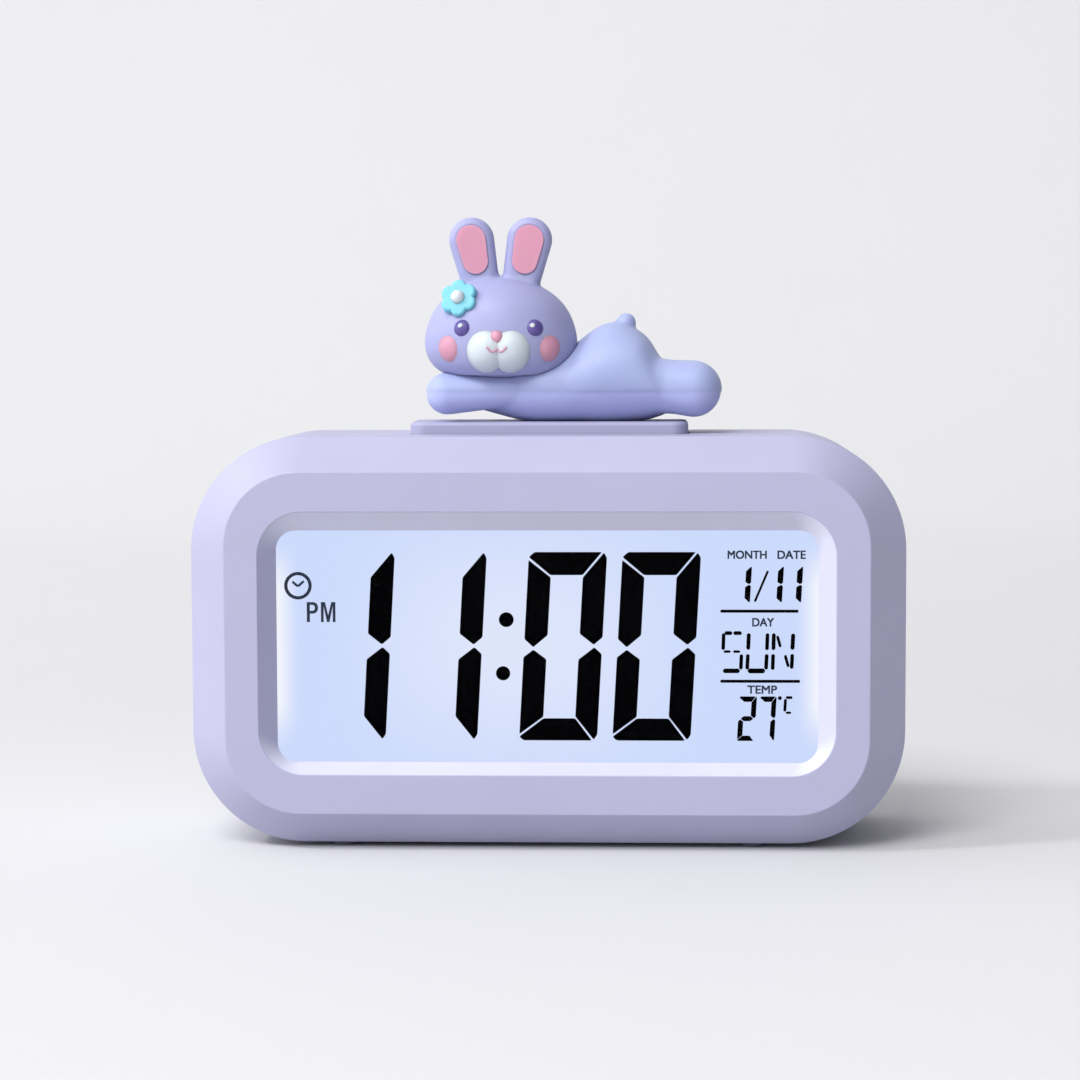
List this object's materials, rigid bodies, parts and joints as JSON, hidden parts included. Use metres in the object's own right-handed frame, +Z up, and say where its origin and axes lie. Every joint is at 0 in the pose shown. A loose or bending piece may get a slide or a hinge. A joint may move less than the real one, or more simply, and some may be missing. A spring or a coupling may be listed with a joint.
{
  "type": "digital bedside clock",
  "caption": "Free-standing digital bedside clock with a rounded chamfered case, a wide lit display, rear controls and a sprung top key that carries a small lying rabbit figure.",
  "frame": {"origin": "on the table under the middle of the case", "axes": "+X to the right as seen from the front, +Y towards the back, +Z up"},
  "size_m": [0.135, 0.045, 0.1196],
  "materials": {
    "lavender_plastic": "fine matt moulded plastic, lavender",
    "button_plastic": "satin moulded plastic, pale lavender",
    "grey_rubber": "soft matt rubber",
    "screw_steel": "zinc-plated steel",
    "clear_window": "clear polished acrylic",
    "black_foam": "closed-cell foam",
    "polariser_film": "grey-blue film",
    "display_glass": "thin clear glass",
    "white_film": "white film",
    "clear_guide": "clear acrylic with a frosted back",
    "light_strip": "white strip with small lamps",
    "white_plastic": "white moulded plastic",
    "contact_rubber": "layered contact rubber",
    "board_laminate": "green board laminate",
    "black_resin": "black resin",
    "tinned_can": "tinned sheet",
    "capacitor_sleeve": "dark blue sleeve",
    "black_plastic": "black moulded plastic",
    "silicone": "milky silicone",
    "lead_sleeve": "soft lead sleeve",
    "ribbon_sleeve": "grey ribbon",
    "cell_sleeve": "plain printed sleeve with bare metal ends",
    "nickel_plate": "nickel-plated spring steel",
    "lavender_vinyl": "soft matt vinyl, lavender",
    "pink_vinyl": "soft matt vinyl, pink",
    "cream_vinyl": "soft matt vinyl, off-white",
    "violet_vinyl": "glossy dark violet",
    "blue_vinyl": "soft matt vinyl, light blue"
  },
  "bodies": {
    "case": {"front_shell": "lavender_plastic", "rear_shell": "lavender_plastic", "rubber_feet": "grey_rubber", "case_screws": "screw_steel", "display_lens": "clear_window", "lens_gasket": "black_foam", "front_polariser": "polariser_film", "lcd_glass": "display_glass", "rear_polariser": "polariser_film", "diffuser_film": "white_film", "light_guide": "clear_guide", "reflector_film": "white_film", "light_strips": "light_strip", "display_holder": "white_plastic", "contact_strip": "contact_rubber", "display_screws": "screw_steel", "main_board": "board_laminate", "controller_blob": "black_resin", "crystal": "tinned_can", "capacitor": "capacitor_sleeve", "buzzer": "black_plastic", "thermistor": "black_resin", "return_domes": "silicone", "key_board": "board_laminate", "key_switch": "black_plastic", "key_board_screws": "screw_steel", "key_leads": "lead_sleeve", "slide_switch": "tinned_can", "panel_board": "board_laminate", "panel_switches": "black_plastic", "panel_board_screws": "screw_steel", "panel_ribbon": "ribbon_sleeve", "battery_cells": "cell_sleeve", "battery_contacts": "nickel_plate", "battery_springs": "nickel_plate", "battery_leads": "lead_sleeve"},
    "top_key": {"snooze_key": "lavender_plastic", "figure_body": "lavender_vinyl", "figure_head": "lavender_vinyl", "figure_screws": "screw_steel", "ear_linings": "pink_vinyl", "muzzle": "cream_vinyl", "eyes": "violet_vinyl", "cheeks": "pink_vinyl", "nose": "pink_vinyl", "flower_petals": "blue_vinyl", "flower_middle": "cream_vinyl"},
    "mode_button": {"mode_button": "button_plastic"},
    "set_button": {"set_button": "button_plastic"},
    "up_button": {"up_button": "button_plastic"},
    "down_button": {"down_button": "button_plastic"},
    "alarm_slider": {"alarm_slider": "button_plastic", "slider_lever": "black_plastic"},
    "battery_door": {"battery_door": "lavender_plastic"}
  },
  "joints": [
    {"name": "snooze_press", "type": "slide", "parent": "case", "child": "top_key", "axis": [0, 0, -1], "range_m": [0, 0.0015], "stiffness_N_per_m": 500, "springref_m": -0.0025, "deforming": ["return_domes"]},
    {"name": "mode_press", "type": "slide", "parent": "case", "child": "mode_button", "axis": [0, -1, 0], "range_m": [0, 0.001], "stiffness_N_per_m": 300, "springref_m": -0.001},
    {"name": "set_press", "type": "slide", "parent": "case", "child": "set_button", "axis": [0, -1, 0], "range_m": [0, 0.001], "stiffness_N_per_m": 300, "springref_m": -0.001},
    {"name": "up_press", "type": "slide", "parent": "case", "child": "up_button", "axis": [0, -1, 0], "range_m": [0, 0.001], "stiffness_N_per_m": 300, "springref_m": -0.001},
    {"name": "down_press", "type": "slide", "parent": "case", "child": "down_button", "axis": [0, -1, 0], "range_m": [0, 0.001], "stiffness_N_per_m": 300, "springref_m": -0.001},
    {"name": "alarm_slide", "type": "slide", "parent": "case", "child": "alarm_slider", "axis": [1, 0, 0], "range_m": [0, 0.003]},
    {"name": "door_tilt", "type": "hinge", "parent": "case", "child": "battery_door", "pos_m": [0, 0.0216, 0.0078], "axis": [-1, 0, 0], "range_deg": [0, 65]}
  ]
}
